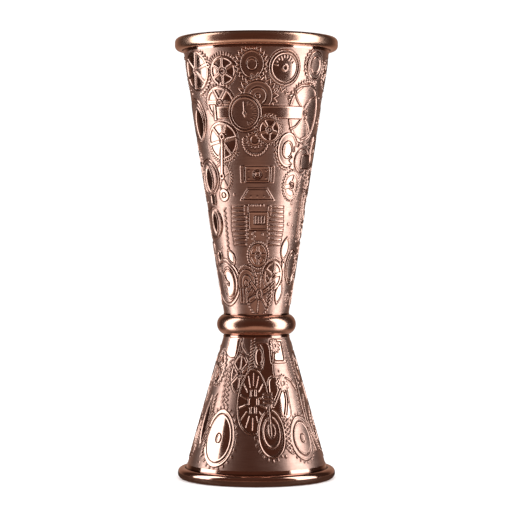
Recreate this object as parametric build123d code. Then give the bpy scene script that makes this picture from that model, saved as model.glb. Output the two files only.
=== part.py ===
from build123d import *

import math
import os

# Double-ended bar jigger: two conical measuring cups brazed floor to floor, with a ring round the waist.
# Millimetres, +Z up. The origin is on the turning axis, in the plane that the lower rim stands on.
# Each cup is one sheet: a flat floor, a conical wall and a rim rolled outwards into a hollow bead.
# The waist ring is a hollow half-round band, trapped between two cones that both widen away from it.

# Driving sizes
overall_height = 130.0        # rim to rim, along the axis
lower_length = 45.5           # table to the joint between the two floors
neck_diameter = 19.36         # outside of both cones at the edges of the waist ring
upper_mouth_diameter = 43.3   # outside of the upper cone where it enters its bead
lower_mouth_diameter = 41.7   # outside of the lower cone where it enters its bead

cup_sheet = 0.8               # wall, floor and bead of both cups
floor_bend = 2.0              # mid-sheet radius between floor and wall
rim_bend = 3.0                # mid-sheet radius where the cone turns upright into the bead

bead_width = 3.25             # rolled rim, across
upper_bead_height = 3.8       # rolled rims, along the axis
lower_bead_height = 3.2
bead_land = 0.4               # flat ring on the end of each bead, to stand on
curl_gap = 0.2                # between the rolled edge and the wall it comes back to

ring_height = 5.9             # waist ring along the axis
ring_proud = 2.0              # how far the ring stands out from the necks
ring_sheet = 0.8
ring_clearance = 0.02         # between the ring's edges and the cones

braze_thickness = 0.2
braze_inset = 0.3             # from the edge of the floors' flat to the edge of the braze

# Worked out from them
neck_radius = neck_diameter / 2
ring_half = ring_height / 2
upper = (overall_height - lower_length, upper_mouth_diameter, upper_bead_height)   # what shapes each cup
lower = (lower_length, lower_mouth_diameter, lower_bead_height)


def cone_slope(length, mouth_diameter, bead_height):
    """Growth of the outside radius per millimetre of height, from the neck to the bead."""
    return (mouth_diameter / 2 - neck_radius) / (length - bead_height - ring_half)


def cone_radius(slope, height):
    """Outside radius of a cone at a height from the joint plane."""
    return neck_radius + slope * (height - ring_half)


def rim_radii(length, mouth_diameter, bead_height):
    """Inside and outside radius of the rolled bead."""
    slope = cone_slope(length, mouth_diameter, bead_height)
    wall_across = cup_sheet * math.sqrt(1 + slope**2)
    inside = mouth_diameter / 2 - wall_across
    return inside, inside + bead_width


def floor_corner(length, mouth_diameter, bead_height):
    """Where the middle lines of the floor and the wall would meet without their bend: radius and height."""
    slope = cone_slope(length, mouth_diameter, bead_height)
    height = (braze_thickness + cup_sheet) / 2
    return cone_radius(slope, height) - cup_sheet / 2 * math.sqrt(1 + slope**2), height


def floor_flat(length, mouth_diameter, bead_height):
    """Radius of the flat part of a floor, up to the start of its bend."""
    bend_turn = math.pi / 2 - math.atan(cone_slope(length, mouth_diameter, bead_height))
    return floor_corner(length, mouth_diameter, bead_height)[0] - floor_bend * math.tan(bend_turn / 2)


def cup(length, mouth_diameter, bead_height):
    """One cup, mouth up, with its joint plane at height 0: the sheet's middle line, traced and revolved."""
    slope = cone_slope(length, mouth_diameter, bead_height)
    half = cup_sheet / 2
    rim_inside, rim_outside = rim_radii(length, mouth_diameter, bead_height)
    corner_radius, floor_height = floor_corner(length, mouth_diameter, bead_height)
    bead_foot = length - bead_height
    corner = (bead_width - bead_land) / 2 - half
    middle = [
        (0, floor_height),
        (corner_radius, floor_height),
        (rim_inside + half, bead_foot + half * slope),
        (rim_inside + half, length - half),
        (rim_outside - half, length - half),
        (rim_outside - half, bead_foot + half),
        (mouth_diameter / 2 + curl_gap, bead_foot + half),
    ]
    line = FilletPolyline(*middle, radius=[floor_bend, rim_bend, corner, corner, corner])
    section = Plane.XZ * trace(line, cup_sheet)
    return revolve(section, Axis.Z)


def waist_ring():
    """Hollow half-round band about height 0, its edges cut to sit on the two cones."""
    bulge = (ring_half**2 + ring_proud**2) / (2 * ring_proud)
    centre = Location((neck_radius + ring_proud - bulge, 0))
    band = centre * (Circle(bulge) - Circle(bulge - ring_sheet))
    upper_slope, lower_slope = cone_slope(*upper), cone_slope(*lower)
    reach = ring_height
    inner_side = -2 * bulge
    inside_the_cones = Polygon(
        (inner_side, reach),
        (cone_radius(upper_slope, reach) + ring_clearance, reach),
        (cone_radius(upper_slope, 0) + ring_clearance, 0),
        (cone_radius(lower_slope, 0) + ring_clearance, 0),
        (cone_radius(lower_slope, reach) + ring_clearance, -reach),
        (inner_side, -reach),
        align=None,
    )
    section = Plane.XZ * (band - inside_the_cones)
    return revolve(section, Axis.Z)


def base_braze():
    """The thin disc of filler between the flats of the two floors."""
    return Cylinder(min(floor_flat(*upper), floor_flat(*lower)) - braze_inset, braze_thickness)


def capacity(length, mouth_diameter, bead_height):
    """Brimful volume of a cup in millilitres, taking the inside as a plain cone frustum."""
    slope = cone_slope(length, mouth_diameter, bead_height)
    wall_across = cup_sheet * math.sqrt(1 + slope**2)
    floor = braze_thickness / 2 + cup_sheet
    small = cone_radius(slope, floor) - wall_across
    large = rim_radii(length, mouth_diameter, bead_height)[0]
    return math.pi / 3 * (length - floor) * (small**2 + small * large + large**2) / 1000


joint = Location((0, 0, lower_length))
turned_over = Location((0, 0, lower_length), (180, 0, 0))
parts = {
    "upper_cup": joint * cup(*upper),
    "lower_cup": turned_over * cup(*lower),
    "waist_ring": joint * waist_ring(),
    "base_braze": joint * base_braze(),
}

os.makedirs("parts", exist_ok=True)
for name, solid in parts.items():
    export_step(solid, f"parts/{name}.step")

print("upper cup holds", round(capacity(*upper), 1), "ml to the brim")
print("lower cup holds", round(capacity(*lower), 1), "ml to the brim")
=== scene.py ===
import bpy
import numpy as np
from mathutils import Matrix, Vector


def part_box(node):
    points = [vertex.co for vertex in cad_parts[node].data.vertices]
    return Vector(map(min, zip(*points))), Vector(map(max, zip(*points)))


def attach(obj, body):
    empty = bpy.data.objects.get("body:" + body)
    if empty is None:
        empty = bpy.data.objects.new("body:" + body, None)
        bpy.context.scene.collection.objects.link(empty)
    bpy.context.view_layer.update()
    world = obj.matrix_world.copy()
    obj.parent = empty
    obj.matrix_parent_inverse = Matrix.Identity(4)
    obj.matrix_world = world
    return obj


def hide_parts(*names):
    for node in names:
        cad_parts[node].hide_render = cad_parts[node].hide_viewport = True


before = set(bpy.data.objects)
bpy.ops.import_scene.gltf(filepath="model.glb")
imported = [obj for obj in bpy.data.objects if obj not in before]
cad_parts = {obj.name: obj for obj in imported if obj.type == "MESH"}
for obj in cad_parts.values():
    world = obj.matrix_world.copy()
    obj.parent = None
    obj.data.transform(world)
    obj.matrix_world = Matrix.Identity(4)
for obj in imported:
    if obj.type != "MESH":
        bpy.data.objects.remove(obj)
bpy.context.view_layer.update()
mm = 0.001                          # shapes below are worked out in millimetres and built in metres

upperBox = [np.array(corner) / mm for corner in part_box("upper_cup")]
lowerBox = [np.array(corner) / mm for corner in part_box("lower_cup")]
ringBox = [np.array(corner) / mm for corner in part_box("waist_ring")]
ringMiddle = (ringBox[0][2] + ringBox[1][2]) / 2
ringRadius = ringBox[1][0]

# What both cups share, as their solids have it
sheet = {
    "wall": 0.8,
    "beadWidth": 3.25,
    "beadCorner": 1.425,
    "beadEdge": 0.4,         # rounding of the curl's cut edge, under the bead
    "curlGap": 0.2,          # room between the curl's cut edge and the wall
    "curlDepth": 1.0,        # how far that room runs up inside the bead
    "floorBend": 1.6,        # inside radius between floor and wall
    "floorRise": 0.9,        # joint plane to the inside of a floor
    "floorFlat": 5.5,
    "skinDepth": 0.4,        # thickness of the etched skin, let into the wall
    "skinRoom": 0.02,        # room behind the skin
    "darkAtRing": 0.5,       # height of the painted shade beside the ring
    # height of the painted shade under the bead
    "darkAtBead": 0.35,
}
waist = {
    "proud": 2.0,            # ring beyond the necks
    "height": 5.9,
    "inset": (0.05, 0.02),   # plain inner wall: inwards from the ring's edges, and towards its middle
    # height of the painted shade at the ring's top and bottom edges
    "darkAtEdge": 0.35,
}
upperCup = {
    "beadHeight": 3.8,
    "etched": (48.8, 125.5),     # lower and upper end of the etched band
    "grid": (960, 601),          # points of the relief round the cup and up it
    "parts": 6,
    "coarse": 20,                # grid steps to one step of the skin's plain inner face
    "seed": 7,
    "tries": 900,                # attempts to fill the free ground
}
lowerCup = {
    "beadHeight": 3.2,
    "etched": (4.3, 41.9),
    "grid": (960, 281),
    "parts": 3,
    "coarse": 20,
    "seed": 11,
    "tries": 500,
}
roundSteps = 320
neckRadius = ringRadius - waist["proud"]


def addMesh(name, points, faces, smoothAngle=50):
    # Points in millimetres become a mesh in metres; faces meeting sharper than the angle keep a hard edge
    mesh = bpy.data.meshes.new(name)
    mesh.from_pydata((np.asarray(points) * mm).tolist(), [], faces)
    mesh.polygons.foreach_set("use_smooth", np.ones(len(mesh.polygons), dtype=bool))
    mesh.set_sharp_from_angle(angle=np.radians(smoothAngle))
    mesh.update()
    piece = bpy.data.objects.new(name, mesh)
    bpy.context.collection.objects.link(piece)
    return piece


def pointPlaces(piece):
    # The mesh's points in millimetres, one row each
    places = np.empty(len(piece.data.vertices) * 3, dtype=np.float32)
    piece.data.vertices.foreach_get("co", places)
    return places.reshape(-1, 3) / mm


def addPointValue(piece, name, values):
    layer = piece.data.attributes.new(name, "FLOAT", "POINT")
    layer.data.foreach_set("value", np.asarray(values, dtype=np.float32).ravel())


def arc(centreX, centreY, radius, start, stop, steps):
    # Points of a circular arc: centre + radius * (cos t, sin t), t from start to stop degrees
    t = np.radians(np.linspace(start, stop, steps))
    return np.column_stack([centreX + radius * np.cos(t), centreY + radius * np.sin(t)])


def line(start, stop, steps):
    # Evenly spaced points between two points, both ends included
    return np.linspace(start, stop, steps)


def lathe(name, outline, steps, closedOutline=False):
    # Each outline point (radius, height) turns once round the axis: x = r sin t, y = -r cos t, z = height.
    # An open outline starts and ends on the axis, where it closes to one point; a closed one meets itself.
    radius, height = outline[:, 0], outline[:, 1]
    turn = np.linspace(0, 2 * np.pi, steps, endpoint=False)
    body = slice(None) if closedOutline else slice(1, -1)
    r, z = radius[body, None], height[body, None]
    rings = np.stack([r * np.sin(turn), -r * np.cos(turn), z + 0 * turn], axis=-1)
    count = rings.shape[0]
    index = np.arange(count * steps).reshape(count, steps)
    following = np.roll(index, -1, axis=1)
    if closedOutline:
        low, high = index, np.roll(index, -1, axis=0)
        lowNext, highNext = following, np.roll(following, -1, axis=0)
    else:
        low, high, lowNext, highNext = index[:-1], index[1:], following[:-1], following[1:]
    faces = np.stack([low, lowNext, highNext, high], axis=-1).reshape(-1, 4).tolist()
    points = rings.reshape(-1, 3)
    if not closedOutline:
        firstPole, lastPole = count * steps, count * steps + 1
        points = np.vstack([points, [0, 0, height[0]], [0, 0, height[-1]]])
        faces += np.stack([np.full(steps, firstPole), following[0], index[0]], axis=-1).tolist()
        faces += np.stack([np.full(steps, lastPole), index[-1], following[-1]], axis=-1).tolist()
    return addMesh(name, points, faces)


def cupShape(cup, box, mouthUp):
    # Straight cone outside: radius = neck + slope * (height above the joint - half the waist ring)
    halfRing = waist["height"] / 2
    length = box[1][2] - ringMiddle if mouthUp else ringMiddle - box[0][2]
    rimOutside = box[1][0]
    rimInside = rimOutside - sheet["beadWidth"]
    rise = length - cup["beadHeight"] - halfRing
    slope = (rimInside + sheet["wall"] - neckRadius) / rise
    across = sheet["wall"] * np.hypot(1, slope)
    slope = (rimInside + across - neckRadius) / rise
    side = 1 if mouthUp else -1
    return {
        "side": side, "length": length, "foot": length - cup["beadHeight"], "rimOutside": rimOutside,
        "rimInside": rimInside, "slope": slope, "across": across, "etched": cup["etched"],
        "radiusAt": lambda z: neckRadius + slope * (side * (z - ringMiddle) - halfRing),
    }


def cupBody(name, shape):
    # The whole turned cup without its etched skin, as one outline from the joint, up the outside, over the
    # bead and down the inside: straight lines and circular arcs of (radius, height above the joint)
    s, side, foot, top, corner = sheet, shape["side"], shape["foot"], shape["length"], sheet["beadCorner"]

    def outer(height):
        return shape["radiusAt"](ringMiddle + side * height)

    def inner(height):
        return outer(height) - shape["across"]

    etched = sorted(side * (z - ringMiddle) for z in shape["etched"])
    seat = (s["skinDepth"] + s["skinRoom"]) * np.hypot(1, shape["slope"])
    lean = np.degrees(np.arctan(shape["slope"]))
    tangent = np.tan(np.radians(90 - lean) / 2)
    outerBend, outerFloor = s["floorBend"] + s["wall"], s["floorRise"] - s["wall"]
    gapTop = foot + s["curlDepth"]
    outline = np.vstack([
        [[0, outerFloor]],
        arc(outer(outerFloor) - outerBend * tangent, outerFloor + outerBend, outerBend, -90, -lean, 12),
        line((outer(3), 3), (outer(etched[0]), etched[0]), 6),
        line((outer(etched[0]) - seat, etched[0]), (outer(etched[1]) - seat, etched[1]), 24),
        line((outer(etched[1]), etched[1]), (outer(gapTop), gapTop), 10),
        [[outer(gapTop) + s["curlGap"], gapTop]],
        arc(outer(foot) + s["curlGap"] + s["beadEdge"], foot + s["beadEdge"], s["beadEdge"], 180, 270, 6),
        arc(shape["rimOutside"] - corner, foot + corner, corner, -90, 0, 16),
        arc(shape["rimOutside"] - corner, top - corner, corner, 0, 90, 16),
        arc(shape["rimInside"] + corner, top - corner, corner, 90, 180, 16),
        line((shape["rimInside"], foot + 0.3), (inner(foot - 0.3), foot - 0.3), 4),
        line((inner(foot - 1), foot - 1), (inner(4), 4), 30),
        arc(inner(s["floorRise"]) - s["floorBend"] * tangent, s["floorRise"] + s["floorBend"],
            s["floorBend"], -lean, -90, 10),
        line((s["floorFlat"], s["floorRise"]), (0, s["floorRise"]), 6),
    ])
    outline[:, 1] = ringMiddle + side * outline[:, 1]
    body = lathe(name, outline if side > 0 else outline[::-1], roundSteps)
    places = pointPlaces(body)
    radius, height = np.hypot(places[:, 0], places[:, 1]), side * (places[:, 2] - ringMiddle)
    inside = (radius < inner(height) + 0.2) & (height > s["floorRise"] - 0.1) & (height < foot + 1)
    addPointValue(body, "inside", inside)
    # Painted shade on the outer wall just beside the ring and just under the bead
    nearRing = 1 - (height - waist["height"] / 2) / s["darkAtRing"]
    nearBead = 1 - (foot - height) / s["darkAtBead"]
    crevice = np.clip(np.where(inside, 0, np.maximum(nearRing, nearBead)), 0, 1)
    addPointValue(body, "crevice", crevice * (radius < outer(foot) + 0.3))
    beyondWall = (radius > outer(foot) + 0.1) | (height > foot + 1.5)
    addPointValue(body, "rolled", (height > foot - 0.1) & beyondWall)
    return body


upperShape = cupShape(upperCup, upperBox, True)
lowerShape = cupShape(lowerCup, lowerBox, False)

# The relief is stamped into the unrolled cones. Heights are millimetres from the plain cone: etched ground,
# deeper grooves, flat faces and standing lines.
level = {"groove": -0.26, "ground": -0.13, "face": 0.0, "line": 0.08}
edge = 0.2                          # width of the slope at the side of every face and line
cut = 0.24                          # width of the dark cut beside a standing line
lineShine = 0.9
fadeWidth = 0.3                     # the relief fades out at the band's ends
fillRoom = 0.45                     # free ground that a small rivet or stud needs round it


def newField(shape, grid):
    # An even grid over the etched band: turn round the axis across it, height up it
    columns, rows = grid
    low, high = shape["etched"]
    field = {"shape": shape, "turn": np.linspace(0, 2 * np.pi, columns, endpoint=False)}
    field["z"] = np.linspace(low, high, rows)
    field["height"] = np.full((rows, columns), level["ground"])
    field["shine"] = np.zeros((rows, columns))
    field["taken"] = np.zeros((rows, columns), dtype=bool)
    return field


def cellsAt(field, place, size, margin=0.0):
    # The grid cells within a half size and a margin of a place given as (degrees from the front, height),
    # with x millimetres round the cone and y up it from there
    turn = (field["turn"] - np.radians(place[0]) + np.pi) % (2 * np.pi) - np.pi
    across, up = field["shape"]["radiusAt"](place[1]) * turn, field["z"] - place[1]
    columns = np.nonzero(np.abs(across) < size[0] + margin)[0]
    rows = np.nonzero(np.abs(up) < size[1] + margin)[0]
    return np.ix_(rows, columns), across[columns][None, :], up[rows][:, None]


def ease(t):
    # Smooth step 3t^2 - 2t^3 from 0 to 1
    t = np.clip(t, 0, 1)
    return t * t * (3 - 2 * t)


def lay(field, cells, distance, height, shine=None, soft=edge):
    # Inside a signed distance (negative inside) the grid takes a new height, and a new shine if one is
    # given; at its edge it crosses over by the smooth step of 0.5 - distance / slope width
    cover = ease(0.5 - distance / soft)
    field["height"][cells] += (height - field["height"][cells]) * cover
    if shine is not None:
        field["shine"][cells] += (shine - field["shine"][cells]) * cover
    field["taken"][cells] |= cover > 0.02


def rib(field, cells, distance, width, height=level["line"], shine=lineShine):
    # A standing line, or with a lower height a groove, that follows a distance's zero line
    lay(field, cells, np.abs(distance) - width / 2, height, shine, min(edge, width))


def trace(field, cells, distance, width=0.38):
    # A standing line on a shape's edge, with a cut outside it where the skin's darkening, oxide and painted
    # shade, gathers
    lay(field, cells, np.abs(distance - cut / 2 - width / 2) - cut / 2, level["groove"], 0)
    rib(field, cells, distance, width)


def oval(x, y, a, b):
    # Distance to the ellipse (x/a)^2 + (y/b)^2 = 1, to first order: (f - 1) f / |(x/a^2, y/b^2)|
    f = np.hypot(x / a, y / b) + 1e-6
    return (f - 1) * f / (np.hypot(x / a**2, y / b**2) + 1e-6)


def toothed(x, y, a, b, teeth, depth, blunt=2.5):
    # The same ellipse with a clipped cosine wave on it: blunt 1 is a wave, more is square teeth
    wave = np.clip(blunt * np.cos(teeth * np.arctan2(x / a, y / b)), -1, 1)
    return oval(x, y, a, b) - depth / 2 * wave


def slab(x, y, halfWide, halfHigh, corner=0.0):
    # Distance to a box with rounded corners
    u, v = np.abs(x) - halfWide + corner, np.abs(y) - halfHigh + corner
    return np.hypot(np.maximum(u, 0), np.maximum(v, 0)) + np.minimum(np.maximum(u, v), 0) - corner


def stroke(x, y, start, end):
    # Distance to the straight stretch between two points
    along = np.array(end) - np.array(start)
    share = ((x - start[0]) * along[0] + (y - start[1]) * along[1]) / (along @ along)
    share = np.clip(share, 0, 1)
    return np.hypot(x - start[0] - share * along[0], y - start[1] - share * along[1])


def radial(x, y, a, b, count, phase=0.0):
    # Distance from the nearest of evenly spaced rays from the centre; phase in degrees turns them
    pitch = 2 * np.pi / count
    angle = np.arctan2(x / a, y / b) - np.radians(phase)
    return np.abs((angle + pitch / 2) % pitch - pitch / 2) * np.hypot(x, y)


def spokedGear(field, place, size, spokes=6, teeth=0, tooth=0.5, rim=0.78, hub=0.28, phase=0,
               spokeWidth=0.45, shine=1.0):
    # Toothed or plain rim, sunk polished windows between the spokes, each with a line round it, and a hub
    # with a hole
    a, b = size
    cells, x, y = cellsAt(field, place, (a, b), margin=1.5)
    edgeLine = toothed(x, y, a, b, teeth, tooth) if teeth else oval(x, y, a, b)
    lay(field, cells, edgeLine, level["face"], 0.15)
    window = np.maximum(oval(x, y, a * rim, b * rim), -oval(x, y, a * hub, b * hub))
    window = np.maximum(window, spokeWidth / 2 - radial(x, y, a, b, spokes, phase))
    lay(field, cells, window, level["ground"] - 0.04, shine)
    rib(field, cells, window, 0.3)
    rib(field, cells, oval(x, y, a * hub * 0.75, b * hub * 0.75), 0.25, level["groove"], 0)
    lay(field, cells, oval(x, y, a * hub * 0.35, b * hub * 0.35), level["groove"], 0)
    trace(field, cells, edgeLine, 0.26)


def discGear(field, place, size, teeth=0, tooth=0.5, blunt=1.2, rings=(), hub=0, shine=0.1, sunk=0):
    # A solid disc, toothed or plain, with turned grooves, a ringed hub and perhaps a sunk polished middle
    a, b = size
    cells, x, y = cellsAt(field, place, (a, b), margin=1.5)
    edgeLine = toothed(x, y, a, b, teeth, tooth, blunt) if teeth else oval(x, y, a, b)
    lay(field, cells, edgeLine, level["face"], shine)
    for share in rings:
        rib(field, cells, oval(x, y, a * share, b * share), 0.4, level["groove"], 0)
        rib(field, cells, oval(x, y, a * share - 0.3, b * share - 0.3), 0.3)
    if sunk:
        lay(field, cells, oval(x, y, a * sunk, b * sunk), level["ground"], 1)
        rib(field, cells, oval(x, y, a * sunk, b * sunk), 0.3)
    trace(field, cells, edgeLine, 0.28)
    if hub:
        trace(field, cells, oval(x, y, a * hub, b * hub), 0.3)


def gauge(field, place, size, dial=0.8, hand=None, ticks=0, tickSpan=(-120, 60), shine=1.0, pin=0.2):
    # A dial in two round beads, with plain ticks, perhaps a hand, and a pin at its centre
    a, b = size
    cells, x, y = cellsAt(field, place, (a, b), margin=0.6)
    lay(field, cells, oval(x, y, a, b), level["groove"], 0)
    trace(field, cells, oval(x, y, a - 0.25, b - 0.25), 0.42)
    lay(field, cells, oval(x, y, a * dial, b * dial), level["face"] - 0.05, shine)
    rib(field, cells, oval(x, y, a * dial, b * dial), 0.34, level["line"] + 0.02, 0.6)
    for k in range(ticks):
        at = tickSpan[0] + (tickSpan[1] - tickSpan[0]) * k / (ticks - 1)
        start, stop = 0.46 if k % 3 == 0 else 0.56, 0.66          # every third tick is longer
        ray = (a * np.sin(np.radians(at)), b * np.cos(np.radians(at)))
        mark = stroke(x, y, (ray[0] * start, ray[1] * start), (ray[0] * stop, ray[1] * stop))
        lay(field, cells, mark - 0.12, level["line"], 0.3, 0.16)
    if hand is not None:
        tip = (a * 0.55 * np.sin(np.radians(hand)), b * 0.55 * np.cos(np.radians(hand)))
        tail = (-0.3 * tip[0], -0.3 * tip[1])
        lay(field, cells, stroke(x, y, tail, tip) - 0.24, level["line"] + 0.06, 0.7)
    lay(field, cells, oval(x, y, a * pin, a * pin), level["line"] + 0.04, 0.5)
    lay(field, cells, oval(x, y, a * pin * 0.45, a * pin * 0.45), level["groove"], 0)


def boss(field, place, size, inner=0.55, shine=0.1):
    # A plain raised oval with a line round it and a smaller oval in it
    a, b = size
    cells, x, y = cellsAt(field, place, (a, b), margin=0.5)
    lay(field, cells, oval(x, y, a, b), level["face"] - 0.04, 0.2)
    trace(field, cells, oval(x, y, a - 0.2, b - 0.2), 0.4)
    lay(field, cells, oval(x, y, a * inner, b * inner), level["face"] - 0.08, shine)
    trace(field, cells, oval(x, y, a * inner, b * inner), 0.34)


def sawLine(field, place, size, teeth, depth=0.5, span=(-180, 180)):
    # A line that zigzags round an ellipse, tooth by tooth: ellipse distance - depth / 2 * triangle wave
    a, b = size
    cells, x, y = cellsAt(field, place, (a, b), margin=depth)
    angle = np.degrees(np.arctan2(x / a, y / b))
    wave = 4 * np.abs((angle * teeth / 360) % 1 - 0.5) - 1
    lean = 1 / np.hypot(1, 2 * depth * teeth / (np.pi * (a + b)))
    outside = np.where((angle - span[0]) % 360 <= span[1] - span[0], 0.0, 9.0)
    distance = (oval(x, y, a, b) - depth / 2 * wave) * lean
    lay(field, cells, np.abs(distance - cut) - cut / 2 + outside, level["groove"], 0)
    lay(field, cells, np.abs(distance) - 0.18 + outside, level["line"], lineShine)


def wire(field, start, end, through=(), width=0.38):
    # A smooth line from start to end through places given as steps from the start, by Catmull and Rom:
    # cubic pieces whose slope at each place is half the step between its neighbours
    places = [start, *((start[0] + turn, start[1] + up) for turn, up in through), end]
    knots = np.array([places[0], *places, places[-1]], dtype=float)
    t = np.linspace(0, 1, 7)[:, None]
    path = np.vstack([
        k[1] + t * (k[2] - k[0]) / 2 + t**2 * (k[0] - 2.5 * k[1] + 2 * k[2] - k[3] / 2)
        + t**3 * (-k[0] + 3 * k[1] - 3 * k[2] + k[3]) / 2
        for k in (knots[n:n + 4] for n in range(len(places) - 1))])
    middle = (path.min(axis=0) + path.max(axis=0)) / 2
    around = field["shape"]["radiusAt"](middle[1])
    path = np.column_stack([around * np.radians(path[:, 0] - middle[0]), path[:, 1] - middle[1]])
    cells, x, y = cellsAt(field, tuple(middle), np.abs(path).max(axis=0) + 1)
    steps = [(p, q) for p, q in zip(path[:-1], path[1:]) if (p != q).any()]
    distance = np.min([stroke(x, y, p, q) for p, q in steps], axis=0)
    lay(field, cells, distance - width / 2 - cut, level["groove"], 0)
    lay(field, cells, distance - width / 2, level["line"], lineShine)


def wireWheel(field, place, size, spokes=14, hub=0.42, links=0, shine=0.85):
    # A wheel of thin lines: a rim, fine spokes, and perhaps upright links round its middle
    a, b = size
    cells, x, y = cellsAt(field, place, (a, b), margin=0.8)
    lay(field, cells, oval(x, y, a, b), level["ground"] - 0.03, shine)
    ray = np.maximum(radial(x, y, a, b, spokes) - 0.11, -oval(x, y, a * hub * 1.15, b * hub * 1.15))
    lay(field, cells, np.maximum(ray, oval(x, y, a * 0.88, b * 0.88)), level["line"] - 0.02, 0.8, 0.2)
    trace(field, cells, oval(x, y, a, b), 0.4)
    for k in range(links):
        turn = 2 * np.pi * (k + 0.5) / links
        link = slab(x - a * hub * 0.72 * np.sin(turn), y - b * hub * 0.72 * np.cos(turn), 0.26, 0.9, 0.26)
        trace(field, cells, link, 0.24)


def loops(field, place, size, count=3, stem=9.0):
    # Loops nested in one another, polished between their lines, that hang on a stem from above
    a, b = size
    cells, x, y = cellsAt(field, place, (a, b + stem), margin=0.8)
    lay(field, cells, oval(x, y, a, b), level["ground"] - 0.03, 1)
    for k in range(count):
        share = 1 - 0.72 * k / (count - 1)
        inner = oval(x, y - (1 - share) * b * 0.2, a * share, b * share)
        trace(field, cells, inner, 0.5 - 0.04 * k)
    lay(field, cells, stroke(x, y, (0, -b * 0.1), (-0.2, stem)) - 0.5, level["groove"], 0.8)
    lay(field, cells, stroke(x, y, (-0.12, -b * 0.1), (-0.3, stem)) - 0.2, level["line"], lineShine)


def burst(field, place, size, spokes=6, hub=0.24, widening=0.14):
    # Spokes without a rim, each drawn by a line up both its sides, round a small ringed hub. A spoke's half
    # width grows outwards: 0.1 + widening * |(x/a, y/b)|
    a, b = size
    cells, x, y = cellsAt(field, place, (a, b), margin=0.8)
    ray = radial(x, y, a, b, spokes, 10) - widening * np.hypot(x / a, y / b) - 0.1
    ray = np.maximum(ray, oval(x, y, a, b))
    ray = np.maximum(ray, -oval(x, y, a * hub, b * hub))
    lay(field, cells, ray, level["face"] - 0.04, 0.5)
    trace(field, cells, ray, 0.3)
    trace(field, cells, oval(x, y, a * hub, b * hub), 0.34)
    lay(field, cells, oval(x, y, 0.3, 0.4), level["line"], 0.6)


def rope(field, start, end, pitch=1.0, wide=1.0, lean=58):
    # Short slanting strokes one above another, like the lay of a rope
    rise = end[1] - start[1]
    count = max(2, int(abs(rise) / pitch))
    t = np.radians(lean)
    for share in np.linspace(0, 1, count):
        spot = (start[0] + share * (end[0] - start[0]), start[1] + share * rise)
        cells, x, y = cellsAt(field, spot, (wide, wide), margin=0.5)
        tip = (wide * np.cos(t), wide * np.sin(t))
        strand = stroke(x, y, (-tip[0], -tip[1]), tip)
        lay(field, cells, strand - 0.36, level["groove"], 0)
        lay(field, cells, strand - 0.2, level["line"], lineShine)


def bars(field, place, size, count=3, wide=0.26):
    # Upright rounded bars side by side in a sunk bed
    a, b = size
    cells, x, y = cellsAt(field, place, (a, b), margin=0.6)
    lay(field, cells, slab(x, y, a, b, 0.3), level["groove"], 0.3)
    for k in range(count):
        at = (k - (count - 1) / 2) * 2 * a / count
        lay(field, cells, slab(x - at, y, wide, b * 0.86, wide), level["line"], 0.7)


def teethRing(field, place, size, count, long=0.9, wide=0.6, span=(-180, 180)):
    # Short radial dashes in an arc: a rack of loose teeth
    a, b = size
    cells, x, y = cellsAt(field, place, (a, b), margin=1)
    angle = np.degrees(np.arctan2(x / a, y / b))
    outside = np.where((angle > span[0]) & (angle < span[1]), 0.0, 9.0)
    dash = np.maximum(radial(x, y, a, b, count) - wide / 2, np.abs(oval(x, y, a, b)) - long / 2)
    lay(field, cells, dash + outside, level["line"], 0.3, 0.16)


def beadRing(field, place, size, count, bead=0.28, span=(0, 360)):
    # Round beads along an ellipse
    a, b = size
    cells, x, y = cellsAt(field, place, (a, b), margin=1)
    for angle in np.radians(np.linspace(span[0], span[1], count, endpoint=span[1] - span[0] < 360)):
        lay(field, cells, np.hypot(x - a * np.sin(angle), y - b * np.cos(angle)) - bead, level["line"], 0.5)


def beadLine(field, start, end, pitch=1.2, bead=0.3):
    # Round beads at an even pitch from one place to another
    wide = field["shape"]["radiusAt"](start[1]) * np.radians(end[0] - start[0])
    for share in np.arange(0, 1, pitch / np.hypot(wide, end[1] - start[1])):
        spot = (start[0] + share * (end[0] - start[0]), start[1] + share * (end[1] - start[1]))
        cells, x, y = cellsAt(field, spot, (1, 1))
        lay(field, cells, np.hypot(x, y) - bead, level["line"], 0.5)


def rod(field, start, end, width=0.6, eye=0.62):
    # A connecting rod between two places, with an eye at each end
    far = (field["shape"]["radiusAt"](start[1]) * np.radians(end[0] - start[0]), end[1] - start[1])
    cells, x, y = cellsAt(field, start, (abs(far[0]), abs(far[1])), margin=3)
    body = stroke(x, y, (0, 0), far) - width / 2
    for spot in ((0, 0), far):
        body = np.minimum(body, np.hypot(x - spot[0], y - spot[1]) - eye)
    lay(field, cells, body - 0.18, level["groove"], 0)
    lay(field, cells, body, level["line"] + 0.04, lineShine)
    for spot in ((0, 0), far):
        lay(field, cells, np.hypot(x - spot[0], y - spot[1]) - eye * 0.4, level["groove"], 0)


def plate(field, place, size, corner=0.3, shine=1.0, border=0, rivets=False):
    # A flat plate, with or without a cut line inside its edge and a rivet in each corner
    a, b = size
    cells, x, y = cellsAt(field, place, (a, b), margin=0.6)
    lay(field, cells, slab(x, y, a, b, corner), level["face"], shine)
    trace(field, cells, slab(x, y, a, b, corner), 0.3)
    if border:
        rib(field, cells, slab(x, y, a - border, b - border, corner), 0.22, level["groove"], 0)
    if rivets:
        for sx, sy in ((-1, -1), (-1, 1), (1, -1), (1, 1)):
            lay(field, cells, np.hypot(x - sx * (a - 0.9), y - sy * (b - 0.9)) - 0.26, level["line"], 0.5)


def fins(field, place, size, count, side=0):
    # A stack of level cooling fins, flush on the side given as -1 or 1
    a, b = size
    thick = 0.3
    cells, x, y = cellsAt(field, place, (a, b), margin=0.8)
    for k in range(count):
        at = (k - (count - 1) / 2) * 2 * b / count
        long = a * (1 - 0.25 * abs(k / count - 0.4))
        shift = side * (a - long)
        gap = slab(x - shift, y - at, long + 0.2, thick + 0.24, thick)
        lay(field, cells, gap, level["groove"], 0.2, 0.4)
        lay(field, cells, slab(x - shift, y - at, long, thick, thick), level["line"] + 0.02, 0.7, 0.36)


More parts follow.
